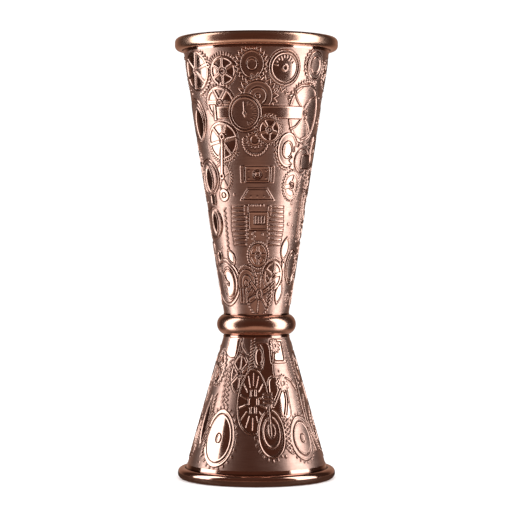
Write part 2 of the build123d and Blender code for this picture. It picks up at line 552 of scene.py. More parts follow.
def leaf(field, place, size, lean=0):
    # The lens where two equal circles overlap, polished, with a line round it; lean in degrees
    a, b = size
    cells, x, y = cellsAt(field, place, (b, b), margin=0.6)
    t = np.radians(lean)
    u, v = x * np.cos(t) - y * np.sin(t), x * np.sin(t) + y * np.cos(t)
    offset = (b * b - a * a) / (2 * a)
    lens = np.maximum(np.hypot(u - offset, v), np.hypot(u + offset, v)) - offset - a
    lay(field, cells, lens, level["face"] - 0.1, 1)
    trace(field, cells, lens, 0.32)


def band(field, place, size):
    # A polished level bar with a groove above and below and a flange at its left end
    halfWide, halfHigh = size
    cells, x, y = cellsAt(field, place, (halfWide, halfHigh), margin=2)
    lay(field, cells, slab(x, y, halfWide, halfHigh + 0.25), level["groove"], 0)
    lay(field, cells, slab(x, y, halfWide, halfHigh), level["face"], 0.7)
    trace(field, cells, slab(x, y, halfWide, halfHigh), 0.26)
    flange = slab(x + halfWide, y, 0.35, halfHigh + 0.5, 0.15)
    lay(field, cells, flange, level["face"] + 0.02, 0.8)
    trace(field, cells, flange, 0.26)


def zigzag(field, start, end, waves, wide=0.4, width=0.34):
    # A line that swings from side to side on its way from one place to another
    far, rise = field["shape"]["radiusAt"](start[1]) * np.radians(end[0] - start[0]), end[1] - start[1]
    cells, x, y = cellsAt(field, start, (abs(far) + 2, abs(rise) + 1))
    share = np.clip(y / rise, 0, 1)
    swing = 4 * np.abs((share * waves) % 1 - 0.5) - 1
    beyond = np.abs(y - np.clip(y, min(0, rise), max(0, rise)))
    distance = np.hypot((x - share * far - wide * swing) * 0.7, beyond)
    lay(field, cells, distance - width / 2, level["line"], 0.4)


def hopper(field, place, size):
    # A funnel plate, wide at the foot and narrow at the top, with rivets along its foot
    a, b = size
    cells, x, y = cellsAt(field, place, (a, b), margin=0.6)
    narrow = 0.55                   # top width as a share of the foot's
    halfWide = a * (narrow + (1 - narrow) * (0.5 - y / (2 * b)))
    shapeLine = np.maximum((np.abs(x) - halfWide) * 0.85, np.abs(y) - b)
    lay(field, cells, shapeLine, level["face"], 0.1)
    rib(field, cells, shapeLine + 0.35, 0.22, level["groove"], 0)
    for k in range(5):
        lay(field, cells, np.hypot(x - (k - 2) * a * 0.36, y + b * 0.35) - 0.24, level["line"], 0.5)


def column(field, place, size):
    # A narrow upright plate with a line round it
    a, b = size
    cells, x, y = cellsAt(field, place, (a, b), margin=0.6)
    lay(field, cells, slab(x, y, a, b, 0.2), level["face"], 0.1)
    rib(field, cells, slab(x, y, a, b, 0.2), 0.24)


runs = (rod, zigzag, rope, wire, beadLine)      # these run from one place to another


def fillGround(field, seed, tries, quiet):
    # Rivets, rings, studs and small gears wherever the ground is still free, away from the quiet patches.
    # The first third of the tries are large ones.
    for centre, reach in quiet:
        cells, x, y = cellsAt(field, centre, reach)
        field["taken"][cells] = True
    random = np.random.default_rng(seed)
    low, high = field["shape"]["etched"]
    for k in range(tries):
        spot = (random.uniform(-180, 180), random.uniform(low + 1, high - 1))
        kind = random.integers(0, 5)
        size = random.uniform(0.55, 1.5) if k < tries / 3 else random.uniform(0.2, 0.5)
        cells, x, y = cellsAt(field, spot, (size, size), margin=fillRoom)
        if field["taken"][cells].any():
            continue
        if size < 0.55:
            lay(field, cells, np.hypot(x, y) - size, level["line"], 0.5)
        elif kind < 2:
            lay(field, cells, toothed(x, y, size, size, 9, 0.4), level["face"], 0.15)
            rib(field, cells, np.hypot(x, y) - size * 0.45, 0.24, level["groove"], 0)
        elif kind == 2:
            rib(field, cells, np.hypot(x, y) - size, 0.3)
            lay(field, cells, np.hypot(x, y) - size * 0.45, level["line"], 0.6)
        elif kind == 3:
            lay(field, cells, slab(x, y, size * 0.4, size, 0.15), level["face"], 0.8)
        else:
            lay(field, cells, slab(x, y, size, size * 0.3, 0.15), level["face"], 0.3)


# Where each ornament stands on the tall cup: (recipe, (degrees from the front, height), (half width, half
# height), the recipe's own settings). Later ones lie over earlier ones, and the set is stamped twice round.
upperOrnaments = [
    (spokedGear, (-60.0, 119.4), (6.2, 5.6), dict(rim=0.93, hub=0.14, spokeWidth=0.5, phase=12)),
    (sawLine, (-60.0, 119.0), (7.0, 6.6), dict(teeth=38, depth=0.7, span=(30, 170))),
    (teethRing, (-28.5, 118.8), (5.4, 5.0), dict(count=40, wide=0.42, span=(-80, 45))),
    (spokedGear, (-28.2, 118.8), (4.1, 4.1), dict(rim=0.9, hub=0.3, spokeWidth=0.5)),
    (sawLine, (-4.0, 120.6), (4.2, 4.6), dict(teeth=22, depth=0.9)),
    (discGear, (-3.6, 120.6), (3.2, 3.7), dict(hub=0.4, shine=0.35)),
    (sawLine, (56.0, 121.0), (4.8, 4.8), dict(teeth=26, span=(-150, -20))),
    (boss, (56.3, 121.0), (4.0, 4.1), {}),
    (teethRing, (-33.5, 109.9), (5.6, 5.2), dict(count=36, wide=0.42, span=(-110, 40))),
    (spokedGear, (-33.6, 109.9), (4.7, 4.5), dict(rim=0.9, spokeWidth=0.8, phase=33)),
    (sawLine, (20.0, 108.6), (3.8, 5.0), dict(teeth=16, depth=1.1, span=(-30, 110))),
    (sawLine, (1.6, 111.8), (5.1, 5.1), dict(teeth=20, depth=1.2)),
    (discGear, (1.2, 111.6), (4.0, 4.1), dict(rings=(0.62,), hub=0.14)),
    (sawLine, (49.5, 107.1), (7.0, 9.1), dict(teeth=48, depth=0.7, span=(-70, 30))),
    (spokedGear, (49.5, 107.1), (6.3, 8.4), dict(spokes=1, rim=0.94, hub=0.12, spokeWidth=0.5, phase=152,
                                                 shine=0.3)),
    (wire, (34.1, 113.5), (43.6, 108.8), dict(through=((3.8, -2.7),))),
    (wire, (34.6, 113.5), (50.2, 115.0), dict(through=((5.8, 1.2),))),
    (wire, (47.6, 108.8), (62.6, 111.8), dict(through=((6.4, 2.2),))),
    (wire, (50.0, 105.4), (47.7, 99.6), dict(through=((6.7, -2.4), (8.4, -4.5)))),
    (wire, (44.6, 105.2), (32.5, 102.4), dict(through=((-6.0, -2.0),))),
    (beadLine, (60.0, 116.2), (62.0, 112.6), {}),
    (band, (2.5, 107.1), (13.8, 1.55), {}),
    (gauge, (23.2, 119.7), (5.0, 5.2), dict(ticks=9, tickSpan=(-75, 60), shine=0.75)),
    (gauge, (-10.3, 106.8), (4.9, 5.4), dict(ticks=13, tickSpan=(20, 160), hand=-3, shine=0.25,
                                             pin=0.12)),
    (boss, (-71.0, 105.4), (6.0, 6.4), dict(inner=0.8, shine=0.0)),
    (leaf, (-65.5, 104.2), (2.6, 4.8), {}),
    (spokedGear, (-34.5, 99.0), (5.0, 5.3), dict(rim=0.94, hub=0.2, phase=20)),
    (sawLine, (-34.5, 99.0), (5.5, 5.9), dict(teeth=44, span=(120, 260))),
    (sawLine, (-1.0, 98.6), (3.5, 3.7), dict(teeth=32, depth=0.4, span=(80, 290))),
    (discGear, (-1.4, 99.2), (2.2, 2.1), dict(teeth=16, sunk=0.6)),
    (spokedGear, (11.8, 102.0), (3.5, 3.9), dict(teeth=26, spokes=5, phase=36)),
    (boss, (31.8, 96.4), (3.3, 4.9), dict(inner=0.46, shine=1.0)),
    (sawLine, (31.8, 96.4), (3.8, 5.5), dict(teeth=26, depth=0.4, span=(170, 300))),
    (discGear, (53.0, 93.4), (4.7, 4.9), dict(teeth=16, tooth=0.9, rings=(0.72,), blunt=0.9)),
    (plate, (60.5, 93.1), (2.5, 1.9), dict(corner=0.9, shine=0.25)),
    (spokedGear, (41.5, 86.2), (3.1, 4.2), dict(teeth=30, tooth=0.45, spokes=3, phase=20)),
    (wireWheel, (-38.0, 88.7), (2.7, 3.8), dict(spokes=5, hub=0.2, shine=0.3)),
    (teethRing, (-38.0, 88.7), (3.2, 4.4), dict(count=30, long=0.5, wide=0.34, span=(10, 170))),
    (rod, (-34.0, 100.2), (-38.8, 88.9), dict(width=0.95, eye=1.0)),
    (gauge, (-60.8, 88.7), (4.9, 5.3), dict(dial=0.76, shine=0.0, pin=0.05)),
    (leaf, (-61.0, 88.0), (1.9, 3.8), {}),
    (discGear, (-38.8, 83.4), (1.6, 1.6), dict(hub=0.3, shine=1.0)),
    (plate, (1.0, 89.3), (3.4, 2.0), dict(shine=0.3, rivets=True)),
    (boss, (1.0, 89.3), (1.15, 1.2), dict(inner=0.5, shine=0.6)),
    (column, (-14.6, 89.3), (0.5, 2.3), {}),
    (column, (16.6, 89.3), (0.5, 2.3), {}),
    (hopper, (1.0, 83.6), (5.2, 1.8), {}),
    (fins, (-22.6, 74.5), (2.2, 6.0), dict(count=9, side=1)),
    (fins, (25.0, 74.5), (2.4, 6.0), dict(count=9, side=-1)),
    (column, (-12.0, 79.0), (0.45, 1.3), {}),
    (column, (15.0, 79.0), (0.45, 1.3), {}),
    (beadLine, (-8.0, 80.4), (9.0, 80.4), dict(pitch=1.0)),
    (plate, (2.6, 75.9), (2.6, 2.4), dict(shine=0.3)),
    (bars, (4.0, 76.2), (1.7, 1.25), dict(count=4, wide=0.2)),
    (zigzag, (-3.6, 72.8), (-3.6, 70.0), dict(waves=2, width=0.3)),
    (beadLine, (-11.0, 77.0), (-11.0, 70.0), {}),
    (beadLine, (15.0, 77.0), (15.0, 70.0), {}),
    (spokedGear, (2.1, 65.9), (2.4, 3.2), dict(spokes=4, rim=0.86, hub=0.36, spokeWidth=0.55)),
    (beadRing, (2.1, 65.9), (2.95, 3.85), dict(count=30, bead=0.27)),
    (zigzag, (-40.2, 79.6), (-40.4, 68.0), dict(waves=8, width=0.32)),
    (boss, (-66.0, 75.4), (4.8, 4.7), dict(inner=0.88, shine=0.0)),
    (leaf, (-61.0, 75.6), (1.5, 3.4), {}),
    (plate, (-57.6, 82.2), (1.1, 1.3), {}),
    (rope, (63.0, 83.0), (66.0, 72.0), {}),
    (rope, (70.0, 82.0), (73.0, 71.0), {}),
    (beadLine, (44.5, 81.0), (41.5, 73.0), dict(pitch=3.0, bead=0.34)),
    (leaf, (41.4, 67.9), (1.3, 3.2), dict(lean=8)),
    (boss, (59.6, 62.4), (2.8, 5.1), dict(inner=0.72)),
    (leaf, (37.6, 54.9), (1.1, 3.0), dict(lean=10)),
    (rod, (40.6, 63.9), (39.6, 58.6), dict(width=0.7)),
    (discGear, (-54.0, 58.0), (5.6, 6.8), dict(rings=(0.88,), shine=0.0)),
    (boss, (-46.5, 57.8), (2.4, 4.6), dict(inner=0.82, shine=0.9)),
    (rod, (-63.0, 61.8), (-48.5, 57.6), {}),
    (leaf, (-36.6, 65.4), (1.1, 2.2), dict(lean=-22)),
    (leaf, (-60.0, 65.6), (1.2, 1.6), {}),
    (beadRing, (-15.0, 58.2), (2.9, 4.7), dict(count=19, span=(-80, 110))),
    (discGear, (-15.0, 57.8), (2.3, 3.9), dict(rings=(0.66,), hub=0.2, shine=0.3)),
    (beadRing, (24.6, 60.2), (3.5, 4.9), dict(count=14, span=(-75, 35))),
    (spokedGear, (25.0, 60.0), (2.8, 4.1), dict(spokes=5, rim=0.9, hub=0.2, phase=10, shine=0.7)),
    (rope, (23.0, 57.6), (21.5, 51.4), dict(pitch=0.8, wide=0.8, lean=40)),
    (bars, (-20.5, 54.1), (1.3, 2.4), {}),
    (beadRing, (4.4, 54.6), (3.6, 6.2), dict(count=34, bead=0.27)),
    (burst, (4.4, 54.6), (2.9, 5.4), {}),
    (spokedGear, (80.0, 119.0), (3.4, 4.2), dict(teeth=24, spokes=5, tooth=0.8)),
    (gauge, (79.0, 96.6), (3.6, 4.8), dict(hand=50, ticks=7)),
    (discGear, (78.0, 87.0), (3.4, 3.8), dict(teeth=24, rings=(0.72, 0.4), tooth=0.9, hub=0.25)),
    (spokedGear, (82.0, 75.0), (2.8, 4.0), dict(teeth=22)),
    (discGear, (80.0, 62.5), (2.6, 3.8), dict(teeth=22, rings=(0.6,), hub=0.25)),
    (spokedGear, (-84.0, 92.0), (3.2, 4.4), dict(teeth=24, spokes=5, tooth=0.8)),
    (gauge, (-84.0, 66.0), (2.8, 4.0), dict(hand=-30, ticks=7, tickSpan=(-110, 60))),
    (leaf, (-84.0, 55.0), (1.1, 3.6), dict(lean=6)),
]
upperQuiet = [((0, 94.0), (5.0, 3.0)), ((0, 124.0), (20.0, 0.6)), ((-12, 82.0), (1.5, 8.0)),
              ((0, 69.0), (7.0, 1.5)), ((-10, 66.0), (1.6, 4.0)), ((14, 66.0), (1.6, 4.0))]

# The short cup's ornaments, drawn out upwards as the real pattern is
lowerOrnaments = [
    (teethRing, (-37.5, 13.2), (5.9, 8.7), dict(count=26)),
    (discGear, (-37.5, 13.2), (5.2, 8.0), dict(rings=(0.86,), hub=0.13, shine=1.0)),
    (plate, (-38.5, 41.6), (2.3, 5.2), dict(corner=2.2)),
    (wire, (-26.8, 42.0), (-12.7, 37.0), dict(through=((4.0, -2.6),))),
    (wire, (-27.0, 42.0), (-32.5, 35.6), dict(through=((-1.6, -3.8),))),
    (spokedGear, (-22.1, 31.6), (2.7, 5.5), dict(rim=0.9, hub=0.26, spokeWidth=0.6)),
    (plate, (9.5, 33.6), (2.7, 6.6), dict(corner=1.6)),
    (boss, (3.4, 36.4), (1.6, 3.8), dict(inner=0.62, shine=1.0)),
    (wireWheel, (-3.8, 23.7), (4.5, 9.2), dict(links=6)),
    (rope, (-5.8, 41.4), (-8.8, 32.6), dict(pitch=0.75, wide=0.5, lean=40)),
    (plate, (34.4, 38.0), (2.2, 3.2), dict(shine=0.9, border=0.5)),
    (wire, (23.5, 35.0), (30.0, 40.6), {}),
    (discGear, (30.0, 39.6), (1.3, 1.7), dict(teeth=12, tooth=0.4, sunk=0.4)),
    (zigzag, (-39.5, 35.4), (-36.0, 22.6), dict(waves=9, wide=0.45)),
    (zigzag, (-44.0, 33.0), (-40.5, 22.6), dict(waves=7, wide=0.35, width=0.3)),
    (plate, (27.0, 24.8), (3.0, 5.8), dict(corner=1.8)),
    (wire, (33.5, 28.6), (19.5, 22.6), dict(width=0.5)),
    (wire, (34.0, 28.4), (31.0, 19.6), dict(width=0.5, through=((1.6, -4.2),))),
    (discGear, (34.6, 28.8), (1.5, 2.1), dict(teeth=12, sunk=0.4)),
    (beadLine, (22.0, 18.6), (30.0, 16.6), dict(pitch=0.9, bead=0.32)),
    (wire, (41.3, 30.2), (54.6, 27.0), dict(through=((6.5, -0.8),))),
    (beadLine, (56.0, 27.0), (53.0, 20.6), dict(pitch=1.3, bead=0.34)),
    (loops, (14.4, 14.6), (3.9, 6.6), {}),
    (teethRing, (14.4, 14.6), (4.6, 7.4), dict(count=22, long=0.8, span=(140, 180))),
    (teethRing, (14.4, 14.6), (4.6, 7.4), dict(count=22, long=0.8, span=(-180, -90))),
    (fins, (13.2, 24.6), (1.5, 1.7), dict(count=3)),
    (discGear, (48.4, 13.0), (4.7, 6.2), dict(rings=(0.78,), hub=0.15, shine=0.0)),
    (teethRing, (48.4, 13.0), (5.3, 6.9), dict(count=26, long=0.6, wide=0.4)),
    (zigzag, (33.0, 20.0), (31.6, 9.0), dict(waves=8)),
    (zigzag, (29.6, 20.0), (29.0, 10.0), dict(waves=8)),
    (wire, (68.5, 25.0), (76.0, 9.0), dict(through=((-4.5, -4.6), (-2.5, -10.0)))),
    (wire, (60.0, 30.0), (66.0, 9.0), dict(through=((-1.4, -8.0), (0.6, -15.0)))),
    (beadLine, (46.0, 41.0), (52.0, 29.0), dict(pitch=0.9)),
    (beadLine, (56.0, 41.0), (61.0, 31.0), dict(pitch=0.9)),
    (spokedGear, (-60.0, 33.0), (2.6, 5.0), dict(teeth=22, spokes=5)),
    (leaf, (-62.0, 17.5), (1.5, 7.0), {}),
    (rope, (-54.0, 25.0), (-55.0, 8.0), dict(wide=0.6, lean=50)),
    (discGear, (-84.0, 13.0), (4.4, 6.6), dict(teeth=40, tooth=0.6, rings=(0.86, 0.6), shine=0.6,
                                               hub=0.25)),
    (spokedGear, (-86.0, 28.0), (3.2, 6.4), dict(spokes=8, rim=0.88)),
    (spokedGear, (84.0, 15.0), (3.6, 6.6), dict(teeth=44, tooth=0.6, phase=30)),
    (gauge, (78.0, 33.0), (2.8, 4.4), dict(hand=30, ticks=7)),
]
lowerQuiet = [((-12, 9.5), (3.6, 4.6)), ((2, 7.5), (4.0, 2.6))]


def engrave(field, ornaments, quiet, cup):
    # The set is stamped on the back and on the front, then the free ground between is filled
    for turned in (180, 0):
        for recipe, place, size, settings in ornaments:
            if recipe in runs:
                size = (size[0] + turned, size[1])
            recipe(field, (place[0] + turned, place[1]), size, **settings)
    patches = [((c[0] + turned, c[1]), reach) for c, reach in quiet for turned in (0, 180)]
    fillGround(field, cup["seed"], cup["tries"], patches)
    low, high = field["shape"]["etched"]
    fade = ease(np.minimum(field["z"] - low, high - field["z"]) / fadeWidth)[:, None]
    field["height"] = level["ground"] + (field["height"] - level["ground"]) * fade
    field["shine"] *= fade


def smear(values, reach):
    # Mean over a square of 2 reach + 1 cells, round the seam as well
    for axis in (0, 1):
        values = sum(np.roll(values, k, axis=axis) for k in range(-reach, reach + 1)) / (2 * reach + 1)
    return values


def skinPiece(name, field, start, stop, skip):
    # One part of the etched skin: the relief outside, a plain coarser face inside and four flat edges.
    # radius = cone + height above it; columns start to stop, every skip-th of them used inside.
    shape, rows = field["shape"], len(field["z"])
    columns = np.arange(start, stop + 1) % len(field["turn"])
    turn = 2 * np.pi * np.arange(start, stop + 1) / len(field["turn"])
    z = field["z"][:, None]
    stretch = np.hypot(1, shape["slope"])
    outer = shape["radiusAt"](z) + field["height"][:, columns] * stretch
    inner = shape["radiusAt"](z) - sheet["skinDepth"] * stretch
    outside = np.stack([outer * np.sin(turn), -outer * np.cos(turn), z + 0 * outer], axis=-1)
    pick = np.ix_(np.arange(0, rows, skip), np.arange(0, len(columns), skip))
    innerR = inner + 0 * turn
    inside = np.stack([innerR * np.sin(turn), -innerR * np.cos(turn), z + 0 * innerR], axis=-1)[pick]
    wide = len(columns)
    o = np.arange(rows * wide).reshape(rows, wide)
    n = rows * wide + np.arange(inside.shape[0] * inside.shape[1]).reshape(inside.shape[:2])
    faces = np.stack([o[:-1, :-1], o[:-1, 1:], o[1:, 1:], o[1:, :-1]], axis=-1).reshape(-1, 4).tolist()
    faces += np.stack([n[:-1, :-1], n[1:, :-1], n[1:, 1:], n[:-1, 1:]], axis=-1).reshape(-1, 4).tolist()

    def sideFaces(outerLine, innerLine):
        # Flat faces between a fine line of points and a coarse one
        return [outerLine[k * skip:(k + 1) * skip + 1].tolist() + [int(innerLine[k + 1]), int(innerLine[k])]
                for k in range(len(innerLine) - 1)]

    faces += sideFaces(o[:, 0], n[:, 0]) + [f[::-1] for f in sideFaces(o[:, -1], n[:, -1])]
    faces += [f[::-1] for f in sideFaces(o[0], n[0])] + sideFaces(o[-1], n[-1])
    piece = addMesh(name, np.vstack([outside.reshape(-1, 3), inside.reshape(-1, 3)]), faces, 70)
    for label in ("shine", "tarnish"):
        values = field[label][:, columns].ravel()
        addPointValue(piece, label, np.append(values, np.zeros(inside[..., 0].size)))
    return piece


# Oxide and painted shade darken wherever the ground lies below the mean round it: cells each way, and depth
# for full dark
oxideAndShadeReach = ((2, 0.07), (6, 0.22))


def etchedSkin(name, shape, cup, ornaments, quiet):
    # One cup's skin: the relief is engraved once on the whole band, given its oxide and painted shade and
    # cut into parts
    field = newField(shape, cup["grid"])
    engrave(field, ornaments, quiet, cup)
    low = sum((smear(field["height"], reach) - field["height"]) / depth for reach, depth in oxideAndShadeReach)
    field["tarnish"] = np.clip(low, 0, 1)
    step = cup["grid"][0] // cup["parts"]
    first = step // 2
    pieces = [skinPiece(f"{name}_{k + 1}", field, first + k * step, first + (k + 1) * step, cup["coarse"])
              for k in range(cup["parts"])]
    print(name, "etched in", len(pieces), "parts,", sum(len(p.data.polygons) for p in pieces), "faces")
    return pieces


upperSkin = etchedSkin("upper_skin", upperShape, upperCup, upperOrnaments, upperQuiet)
lowerSkin = etchedSkin("lower_skin", lowerShape, lowerCup, lowerOrnaments, lowerQuiet)
upperBody = cupBody("upper_cup_body", upperShape)
lowerBody = cupBody("lower_cup_body", lowerShape)


def waistRing():
    # Half-round band: an arc through both necks and the ring's widest point, closed by a plain inner wall
    half, proud = waist["height"] / 2, waist["proud"]
    bulge = (half**2 + proud**2) / (2 * proud)
    swing = np.degrees(np.arcsin(half / bulge))
    outline = arc(neckRadius + proud - bulge, ringMiddle, bulge, -swing, swing, 48)
    inwards, nearer = waist["inset"]
    innerWall = line(outline[-1] - (inwards, nearer), outline[0] - (inwards, -nearer), 10)
    turned = lathe("waist_ring_band", np.vstack([outline, innerWall]), roundSteps, closedOutline=True)
    rise = np.abs(pointPlaces(turned)[:, 2] - ringMiddle)
    # Painted shade along the ring's top and bottom edges
    addPointValue(turned, "crevice", np.clip(1 - (half - rise) / waist["darkAtEdge"], 0, 1))
    addPointValue(turned, "rolled", np.ones(len(rise)))
    return turned


ring = waistRing()
print("cups and ring turned")


def newGroup(name, inputs, outputs):
    group = bpy.data.node_groups.new(name, "ShaderNodeTree")
    for label, value in inputs:
        socket = group.interface.new_socket(label, in_out="INPUT", socket_type="NodeSocketFloat")
        socket.default_value = value
    for label in outputs:
        group.interface.new_socket(label, in_out="OUTPUT", socket_type="NodeSocketFloat")
    return group, group.nodes.new("NodeGroupInput"), group.nodes.new("NodeGroupOutput")


def node(tree, kind, inputs=None, **settings):
    # Adds a node, sets its properties, and fills each input with a value or with another node's output
    made = tree.nodes.new(kind)
    for label, value in settings.items():
        setattr(made, label, value)
    for label, value in (inputs or {}).items():
        if isinstance(value, bpy.types.NodeSocket):
            tree.links.new(value, made.inputs[label])
        else:
            made.inputs[label].default_value = value
    return made


def brushingGroup():
    # Fine scratches: noise on (direction round the axis * Round, height * Up). A high Up with a low Round
    # gives lines that run round the piece; a high Round with a low Up gives upright ones.
    group, given, out = newGroup("Brushing", [("Round", 8.0), ("Up", 3000.0)], ["Height", "Streak"])
    place = node(group, "ShaderNodeTexCoord").outputs["Object"]
    parts = node(group, "ShaderNodeSeparateXYZ", {"Vector": place})
    flat = node(group, "ShaderNodeCombineXYZ", {"X": parts.outputs["X"], "Y": parts.outputs["Y"]})
    way = node(group, "ShaderNodeVectorMath", {0: flat.outputs[0]}, operation="NORMALIZE")
    spread = node(group, "ShaderNodeVectorMath", {0: way.outputs[0], "Scale": given.outputs["Round"]},
                  operation="SCALE")
    height = node(group, "ShaderNodeMath", {0: parts.outputs["Z"], 1: given.outputs["Up"]},
                  operation="MULTIPLY")
    lift = node(group, "ShaderNodeCombineXYZ", {"Z": height.outputs[0]})
    where = node(group, "ShaderNodeVectorMath", {0: spread.outputs[0], 1: lift.outputs[0]}, operation="ADD")
    fine = node(group, "ShaderNodeTexNoise", {"Vector": where.outputs[0], "Scale": 1.0, "Detail": 3.0,
                                              "Roughness": 0.65})
    broad = node(group, "ShaderNodeTexNoise", {"Vector": where.outputs[0], "Scale": 0.4, "Detail": 2.0})
    sharper = node(group, "ShaderNodeMapRange", {"Value": broad.outputs["Fac"], "From Min": 0.36,
                                                 "From Max": 0.68})
    group.links.new(fine.outputs["Fac"], out.inputs["Height"])
    group.links.new(sharper.outputs["Result"], out.inputs["Streak"])
    return group


def patinaGroup():
    # Blotches of darker oxide: two noises of different size, multiplied and sharpened between two levels
    group, given, out = newGroup("Patina", [("Size", 60.0), ("Low", 0.4), ("High", 0.7)], ["Mask"])
    place = node(group, "ShaderNodeTexCoord").outputs["Object"]
    large = node(group, "ShaderNodeTexNoise", {"Vector": place, "Scale": given.outputs["Size"],
                                               "Detail": 4.0, "Roughness": 0.6, "Distortion": 0.4})
    finer = node(group, "ShaderNodeMath", {0: given.outputs["Size"], 1: 7.0}, operation="MULTIPLY")
    small = node(group, "ShaderNodeTexNoise", {"Vector": place, "Scale": finer.outputs[0], "Detail": 3.0})
    both = node(group, "ShaderNodeMath", {0: small.outputs["Fac"], 1: 0.35, 2: 0.33},
                operation="MULTIPLY_ADD")
    mixed = node(group, "ShaderNodeMath", {0: large.outputs["Fac"], 1: both.outputs[0]},
                 operation="MULTIPLY")
    doubled = node(group, "ShaderNodeMath", {0: mixed.outputs[0], 1: 2.0}, operation="MULTIPLY")
    mask = node(group, "ShaderNodeMapRange", {"Value": doubled.outputs[0], "From Min": given.outputs["Low"],
                                              "From Max": given.outputs["High"]})
    group.links.new(mask.outputs["Result"], out.inputs["Mask"])
    return group


brushing, patina = brushingGroup(), patinaGroup()


def newMaterial(name):
    made = bpy.data.materials.new(name)
    made.use_nodes = True
    return made, made.node_tree, made.node_tree.nodes["Principled BSDF"]


def blendColour(tree, share, first, second):
    mix = node(tree, "ShaderNodeMix", {"Factor": share}, data_type="RGBA")
    for label, value in (("A", first), ("B", second)):
        socket = [s for s in mix.inputs if s.name == label and s.type == "RGBA"][0]
        if isinstance(value, bpy.types.NodeSocket):
            tree.links.new(value, socket)
        else:
            socket.default_value = (*value, 1.0)
    return [s for s in mix.outputs if s.type == "RGBA"][0]


def placed(tree, group, **values):
    # Puts a shader group into a material with its own values
    made = tree.nodes.new("ShaderNodeGroup")
    made.node_tree = group
    for label, value in values.items():
        made.inputs[label].default_value = value
    return made


def mathNode(tree, operation, *values):
    return node(tree, "ShaderNodeMath", dict(enumerate(values)), operation=operation).outputs[0]


etchedLook = {
    "ground": (0.67, 0.435, 0.35),
    "polished": (0.88, 0.58, 0.46),
    "oxide": (0.30, 0.12, 0.08),
    # oxide with painted shade in the hollows of the relief
    "cutOxide": (0.11, 0.038, 0.028),
    "satinRoughness": 0.31,
    "polishedRoughness": 0.09,
    "brushing": {"Round": 10.0, "Up": 5200.0},
    "patina": {"Size": 70.0, "Low": 0.42, "High": 0.75},
    "patinaShare": 0.22,            # how much oxide is mixed in by blotches and by streaks, and oxide with painted shade in cuts
    "streakShare": 0.2,
    "cutShare": 0.62,
    "patinaRoughness": 0.08,        # what blotches and cuts add
    "cutRoughness": 0.15,
    "polishedGrain": 0.15,          # brushing left on the polished faces
    "bump": 0.5,
    "bumpHeight": 0.00003,
}


def etchedCopper(look):
    # Satin ground brushed round the cone, polished faces where the skin's shine is 1, dark oxide mixed with
    # painted shade in its hollows
    made, tree, surface = newMaterial("etched_copper")
    shine = node(tree, "ShaderNodeAttribute", attribute_name="shine").outputs["Fac"]
    tarnish = node(tree, "ShaderNodeAttribute", attribute_name="tarnish").outputs["Fac"]
    lines = placed(tree, brushing, **look["brushing"])
    blotch = placed(tree, patina, **look["patina"]).outputs["Mask"]
    base = blendColour(tree, shine, look["ground"], look["polished"])
    dull = mathNode(tree, "MULTIPLY", blotch, look["patinaShare"])
    aged = blendColour(tree, dull, base, look["oxide"])
    streak = mathNode(tree, "MULTIPLY", lines.outputs["Streak"], look["streakShare"])
    brushed = blendColour(tree, streak, aged, look["oxide"])
    # Oxide and painted shade in the hollows of the relief
    dark = mathNode(tree, "MULTIPLY", tarnish, look["cutShare"])
    tree.links.new(blendColour(tree, dark, brushed, look["cutOxide"]), surface.inputs["Base Color"])
    rough = node(tree, "ShaderNodeMapRange", {"Value": shine, "To Min": look["satinRoughness"],
                                              "To Max": look["polishedRoughness"]}).outputs["Result"]
    worn = mathNode(tree, "MULTIPLY_ADD", blotch, look["patinaRoughness"], rough)
    tree.links.new(mathNode(tree, "MULTIPLY_ADD", tarnish, look["cutRoughness"], worn),
                   surface.inputs["Roughness"])
    matt = mathNode(tree, "SUBTRACT", 1.0, shine)
    share = mathNode(tree, "MULTIPLY_ADD", matt, 1 - look["polishedGrain"], look["polishedGrain"])
    grain = mathNode(tree, "MULTIPLY", lines.outputs["Height"], share)
    bump = node(tree, "ShaderNodeBump", {"Height": grain, "Strength": look["bump"],
                                         "Distance": look["bumpHeight"]})
    tree.links.new(bump.outputs["Normal"], surface.inputs["Normal"])
    surface.inputs["Metallic"].default_value = 1.0
    return made


def brightCopper(name, look):
    # Polished copper: warmer where it is rolled, with fine scratches, faint oxide blotches, painted shade
    # beside the bead and the ring, and a duller brushed inside
    made, tree, surface = newMaterial(name)
    rolled = node(tree, "ShaderNodeAttribute", attribute_name="rolled").outputs["Fac"]
    inside = node(tree, "ShaderNodeAttribute", attribute_name="inside").outputs["Fac"]
    crevice = node(tree, "ShaderNodeAttribute", attribute_name="crevice").outputs["Fac"]
    lines = placed(tree, brushing, **look["brushing"])
    blotch = placed(tree, patina, **look["patina"]).outputs["Mask"]
    plain = blendColour(tree, rolled, look["bandColour"], look["colour"])
    base = blendColour(tree, inside, plain, look["insideColour"])
    dull = mathNode(tree, "MULTIPLY", blotch, look["patinaShare"])
    aged = blendColour(tree, dull, base, look["oxide"])
    streak = mathNode(tree, "MULTIPLY", lines.outputs["Streak"], look["streakShare"])
    brushed = blendColour(tree, streak, aged, look["oxide"])
    # Painted shade in the crevices beside the bead and the ring
    dark = mathNode(tree, "MULTIPLY", crevice, look["creviceShare"])
    tree.links.new(blendColour(tree, dark, brushed, look["deepOxide"]), surface.inputs["Base Color"])
    outer = node(tree, "ShaderNodeMapRange", {"Value": rolled, "To Min": look["bandRoughness"],
                                              "To Max": look["roughness"]}).outputs["Result"]
    rough = node(tree, "ShaderNodeMapRange", {"Value": inside, "To Min": outer,
                                              "To Max": look["insideRoughness"]}).outputs["Result"]
    tree.links.new(mathNode(tree, "MULTIPLY_ADD", blotch, look["patinaRoughness"], rough),
                   surface.inputs["Roughness"])
    bump = node(tree, "ShaderNodeBump", {"Height": lines.outputs["Height"], "Strength": look["bump"],
                                         "Distance": look["bumpHeight"]})
    tree.links.new(bump.outputs["Normal"], surface.inputs["Normal"])
    surface.inputs["Metallic"].default_value = 1.0
    return made


